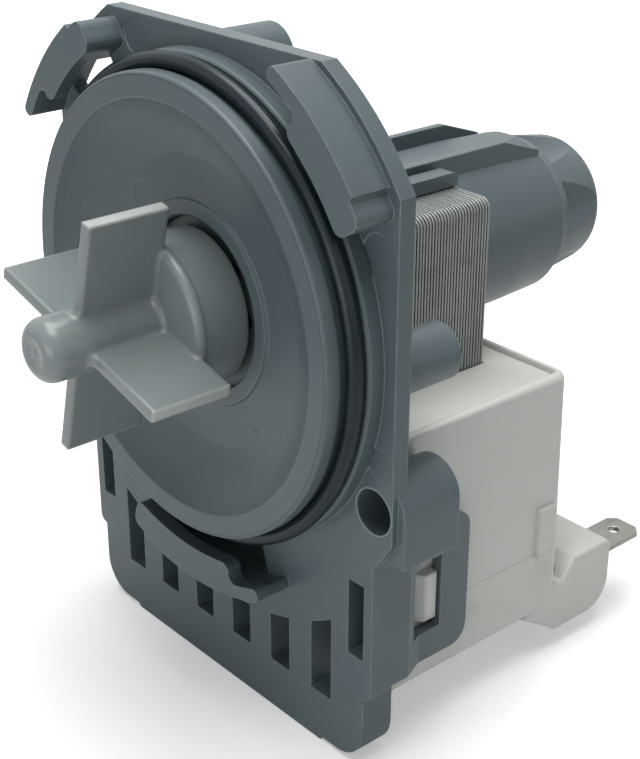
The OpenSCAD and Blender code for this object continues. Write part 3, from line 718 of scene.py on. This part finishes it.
# %% The pile
shaken = random.Random(7)
slip = 0.02
pile = [sheet]
for count in range(1, sheet_count):
    pile.append(twin(sheet, (shaken.uniform(-slip, slip), count * pitch, shaken.uniform(-slip, slip))))
alone(sheet)
for each in pile:
    each.select_set(True)
bpy.ops.object.join()
hand_over(sheet, sheet_steel, "pump", "lamination_stack", smooth=30)

# %% [markdown]
# ## The impeller
#
# Its blades, nose and cup are one moulding with soft edges and small fillets at the roots. A
# bevel can't follow the crossing of a flat blade and a round hub. Wrapping the whole form in an
# even net of small faces and relaxing that net does: edges and inner corners round together,
# and the flat faces stay flat. The roots are relaxed for longer, for their bigger fillet.

# %% Impeller: nose and gate mark
impeller = merged_copy("impeller", "impeller_moulding")
tip_y, plug_r, plug_length = -28.7, 2.1, 2.3
dish_r, dish_depth, gate_r = 2.4, 0.35, 0.42
ball_r = (dish_r**2 + dish_depth**2) / (2 * dish_depth)
dish_floor_y = tip_y + dish_depth
carve(impeller, round_bar("nose_plug", plug_r, (0, tip_y + 1.2, 0), plug_length), "UNION")
carve(impeller, ball("nose_dish", ball_r, (0, dish_floor_y - ball_r, 0)))
carve(impeller, ball("gate_mark", gate_r, (0, dish_floor_y + 0.1, 0)), "UNION")
print("impeller faces before the net:", len(impeller.data.polygons))


# %% Impeller: net and fillets
def clamped(value):
    return max(0.0, min(1.0, value))


net_size = 0.23
hub_reach, hub_fade, hub_front, hub_rear = 6.3, 1.2, -22.4, -9
disc_start, disc_rear, disc_r = -12.6, -9.6, 9.8

modify(impeller, "REMESH", mode="VOXEL", voxel_size=net_size * MM)
modify(impeller, "SMOOTH", factor=0.5, iterations=4)
roots = impeller.vertex_groups.new(name="roots")
for vertex in impeller.data.vertices:
    spot = vertex.co / MM
    reach = math.hypot(spot.x, spot.z)
    at_hub = clamped((hub_reach - reach) / hub_fade) if hub_front < spot.y < hub_rear else 0.0
    at_disc = clamped(spot.y - disc_start) if spot.y < disc_rear and reach < disc_r else 0.0
    if max(at_hub, at_disc) > 0:
        roots.add([vertex.index], max(at_hub, at_disc), "REPLACE")
modify(impeller, "SMOOTH", factor=0.5, iterations=9, vertex_group="roots")
hand_over(impeller, impeller_plastic, "impeller", "impeller", smooth=60)

# %% [markdown]
# ## The sealing ring
#
# The ring is moulded in two halves too, so a fine flash line runs round it where they met. A
# torus gives the round section, and pushing out its outermost loop gives the line.

# %% Sealing ring
ring_mid_r, ring_y, ring_section_r, flash = 33.3, -3.85, 1.14, 0.05
ring_middle = (0, ring_y * MM, 0)
bpy.ops.mesh.primitive_torus_add(
    major_segments=200,
    minor_segments=32,
    major_radius=ring_mid_r * MM,
    minor_radius=ring_section_r * MM,
    location=ring_middle,
    rotation=(math.pi / 2, 0, 0),
)
sealing_ring = settle(bpy.context.object, "sealing_ring")
pick(sealing_ring, "VERT", lambda s: math.hypot(s.x, s.z) > ring_mid_r + ring_section_r - 0.01)
push = 1 + flash / ring_mid_r
bpy.ops.transform.resize(value=(push, 1, push), center_override=ring_middle)
done()
hand_over(sealing_ring, seal_rubber, "pump", "sump_seal", smooth=80)

# %% [markdown]
# ## The coil case
#
# The case is a deep box with a leaning rear wall and well rounded edges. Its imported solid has
# sharp ones, and a bevel over all of them would stumble where the round opening meets the rim. So
# it is modelled in the order of a maker: box, lean, rounded corners, rim, hollow, then the
# blocks, tabs and ribs, and the opening for the rotor can as the last cut.

# %% Case: box, lean, corners, hollow
case_half_w, case_front, case_rear, case_top, case_floor = 29.75, 7.2, 42.1, -13.2, -53.2
wall, lean, rim_r = 1.5, 1.2, 1.25
inner_half_w = case_half_w - wall

case = block(
    "coil_case_shell", (-case_half_w, case_front, case_floor), (case_half_w, case_rear, case_top)
)
pick(case, "VERT", lambda s: s.y > case_rear - 1 and s.z < case_floor + 1)
bpy.ops.transform.translate(value=(0, lean * MM, 0))
done()
for side in (1, -1):
    round_edges(case, lambda s: s.y > case_rear - 1 and side * s.x > inner_half_w, 2.7, 8)
round_edges(case, lambda s: s.y < case_front + 0.1 and abs(s.x) > inner_half_w, 0.6)
round_edges(case, lambda s: s.z > case_top - 0.1, rim_r, 5)
round_edges(case, lambda s: s.z < case_floor + 0.1, 1.0, 4)
pick(case, "FACE", lambda s: s.z > case_top - 0.01)
bpy.ops.mesh.inset(thickness=(wall - rim_r) * MM)
hollow_depth = case_top - case_floor - wall
bpy.ops.mesh.extrude_region_move(TRANSFORM_OT_translate={"value": (0, 0, -hollow_depth * MM)})
done()


def at_mouth(s):
    between_walls = case_front + wall - 0.02 < s.y < case_rear - wall + 0.2
    return s.z > case_top - 0.01 and abs(s.x) < inner_half_w + 0.02 and between_walls


round_edges(case, at_mouth, 0.15, 2)
print("case shell faces:", len(case.data.polygons))

# %% [markdown]
# The terminal blocks, the snap tabs that lock in the windows of the ears, and the guide ribs are
# the same left and right. Each is modelled once at the right side and joined on with its mirror
# image. The slots of the terminals are cut with copies of the terminals themselves.


# %% Case: terminal blocks
def arc_points(y, z, radius, start, stop, steps):
    angles = [math.radians(start + (stop - start) * i / steps) for i in range(steps + 1)]
    return [(y + radius * math.cos(a), z + radius * math.sin(a)) for a in angles]


block_w, block_rear, block_top, block_floor, block_edge_r = 12.2, 55.4, -46.5, -58.5, 0.5
corner_r, knee_r, chamfer, valley_z = 5, 2, 0.8, -49.9
block_outline = [
    (case_rear - 2, case_floor + 2),
    (case_rear - 2, valley_z),
    (case_rear + 2, valley_z),
    (case_rear + 4.4, block_top),
    (block_rear - chamfer, block_top),
    (block_rear, block_top - chamfer),
    *arc_points(block_rear - corner_r, block_floor + corner_r, corner_r, 0, -90, 8),
    *arc_points(case_rear + 1.4, block_floor + knee_r, knee_r, 270, 216, 5),
    (case_rear - 7.2, case_floor),
]
terminal_block = drawn("terminal_block", block_outline, case_half_w - block_w, case_half_w)
for face_x in (case_half_w, case_half_w - block_w):
    round_edges(terminal_block, lambda s: abs(s.x - face_x) < 0.01, block_edge_r)

step_x, step_top = case_half_w - 3.6, -46.6
valley_floor = block(
    "valley_floor", (case_half_w - 12, case_rear - 1, -52), (step_x, case_rear + 5, step_top)
)
round_edges(valley_floor, lambda s: s.x > step_x - 0.1 and s.z > step_top - 0.1, 1.2)
print("outline points of a terminal block:", len(block_outline))

# %% Case: snap tabs, guide ribs and openings
tab_front, tab_rear, tab_low, tab_top, tab_out, tab_slope = 10.6, 14.3, -42.6, -35, 1.35, 1.5
snap_tab = block(
    "snap_tab", (case_half_w - 1, tab_front, tab_low), (case_half_w + tab_out, tab_rear, tab_top)
)
pick(snap_tab, "VERT", lambda s: s.x > case_half_w and s.y < tab_front + 0.1)
bpy.ops.transform.translate(value=(0, tab_slope * MM, 0))
done()
round_edges(snap_tab, lambda s: s.x > case_half_w, 0.3)

rib_y, rib_r, rib_low, rib_top, rib_out = 38.3, 1.8, -41.8, -34.2, 0.85
rib_outline = [
    (rib_y - rib_r, rib_top),
    *arc_points(rib_y, rib_low, rib_r, 180, 360, 16),
    (rib_y + rib_r, rib_top),
]
guide = drawn("guide_rib", rib_outline, case_half_w - 1, case_half_w + rib_out)
round_edges(guide, lambda s: s.x > case_half_w, 0.35)

for detail in (terminal_block, valley_floor, snap_tab, guide):
    carve(case, twin(detail, mirrored=True), "UNION")
    carve(case, detail, "UNION")
carve(case, round_bar("can_room", can_room_r, (0, 25, 0), 50))
for name in ("terminal_left", "terminal_right"):
    carve(case, merged_copy(name, name + "_slot"))
hand_over(case, case_plastic, "pump", "coil_case", smooth=30)

# %% [markdown]
# ## The lid and the blades
#
# The lid drops into the rim with a hair of clearance, which shows as a fine dark seam. The
# blades are stamped, so their edges are broken only slightly. Both shapes are plain enough for
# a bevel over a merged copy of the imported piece.

# %% Lid and blades
lid_z, lid_fit = -14.8, (0.9965, 0.994, 1)
lid = merged_copy("case_lid", "dropped_in_lid")
pick(lid, "VERT", lambda s: True)
lid_middle = Vector((0, (case_front + case_rear) / 2, lid_z)) * MM
bpy.ops.transform.resize(value=lid_fit, center_override=lid_middle)
done()
soften(lid, 0.18, 2, 50)
hand_over(lid, case_plastic, "pump", "case_lid")
for side in ("left", "right"):
    blade = merged_copy("terminal_" + side, "blade_" + side)
    soften(blade, 0.1, 2, 40)
    hand_over(blade, tinned_brass, "pump", "terminal_" + side)

# %% [markdown]
# ## Studio
#
# A product picture needs a pale floor, a broad soft light straight above, and a weaker one low in
# front that keeps the undersides open. The world gives even light to the object, and plain white
# to the eye and to reflections. The floor does the same: it takes the shadow, and a little glow
# that only the camera sees lifts the rest to white.

# %% Floor
floor_height = cad_low.z
bpy.ops.mesh.primitive_plane_add(size=6.0, location=(0, 0, floor_height))
floor = bpy.context.object
floor.name = "studio_floor"

paper = bpy.data.materials.new("floor_paper")
paper.use_nodes = True
tree = paper.node_tree
shader = tree.nodes["Principled BSDF"]
shader.inputs["Roughness"].default_value = 0.9
shader.inputs["Specular IOR Level"].default_value = 0.1
where = place(tree, "ShaderNodeTexCoord").outputs["Object"]
fibres = place(tree, "ShaderNodeTexNoise", {"Vector": where, "Scale": 900.0, "Detail": 4.0})
paper_tone = mixed(tree, fibres.outputs["Fac"], (0.84, 0.84, 0.84, 1), (0.88, 0.88, 0.88, 1))
far = place(tree, "ShaderNodeVectorMath", {0: where}, operation="LENGTH").outputs["Value"]
glow = in_range(tree, far, 0.08, 0.22, low=0.35)
path = place(tree, "ShaderNodeLightPath").outputs
tree.links.new(paper_tone, shader.inputs["Base Color"])
shader.inputs["Emission Color"].default_value = (1, 1, 1, 1)
tree.links.new(
    calc(tree, "MULTIPLY", path["Is Camera Ray"], glow), shader.inputs["Emission Strength"]
)
finish_with(floor, paper)
print("floor at", round(floor_height / MM, 1), "mm")

# %% World
world = bpy.data.worlds.new("studio_world")
bpy.context.scene.world = world
world.use_nodes = True
tree = world.node_tree
tree.nodes.clear()
path = place(tree, "ShaderNodeLightPath").outputs
seen = calc(tree, "ADD", path["Is Camera Ray"], path["Is Glossy Ray"])
shown = calc(tree, "ADD", seen, path["Is Transmission Ray"], use_clamp=True)
even = place(tree, "ShaderNodeBackground", {"Color": (0.97, 0.985, 1.0, 1), "Strength": 0.23})
white = place(tree, "ShaderNodeBackground", {"Color": (1, 1, 1, 1), "Strength": 1.0})
both = place(tree, "ShaderNodeMixShader", {0: shown, 1: even.outputs[0], 2: white.outputs[0]})
place(tree, "ShaderNodeOutputWorld", {"Surface": both.outputs[0]})
print("world nodes:", len(tree.nodes))


# %% Lamps
def soft_box(name, place_mm, width, watts, tint):
    lamp = bpy.data.lights.new(name, "AREA")
    lamp.shape = "RECTANGLE"
    lamp.size = width
    lamp.size_y = width * 0.7
    lamp.energy = watts
    lamp.color = tint
    holder = bpy.data.objects.new(name, lamp)
    bpy.context.scene.collection.objects.link(holder)
    spot = Vector(place_mm) * MM
    aim = (cad_low + cad_high) / 2
    turn = (aim - spot).to_track_quat("-Z", "Y").to_matrix().to_4x4()
    holder.matrix_world = Matrix.Translation(spot) @ turn


soft_box("key_from_above", (-10, 10, 490), 0.5, 3.15, (1, 0.995, 0.98))
soft_box("low_front_fill", (80, -380, -30), 0.3, 0.5, (0.97, 0.985, 1))

# %% [markdown]
# ## The finish of the picture
#
# The picture is shown as it is, with no film look.

# %% Finish
bpy.context.scene.view_settings.view_transform = "Standard"
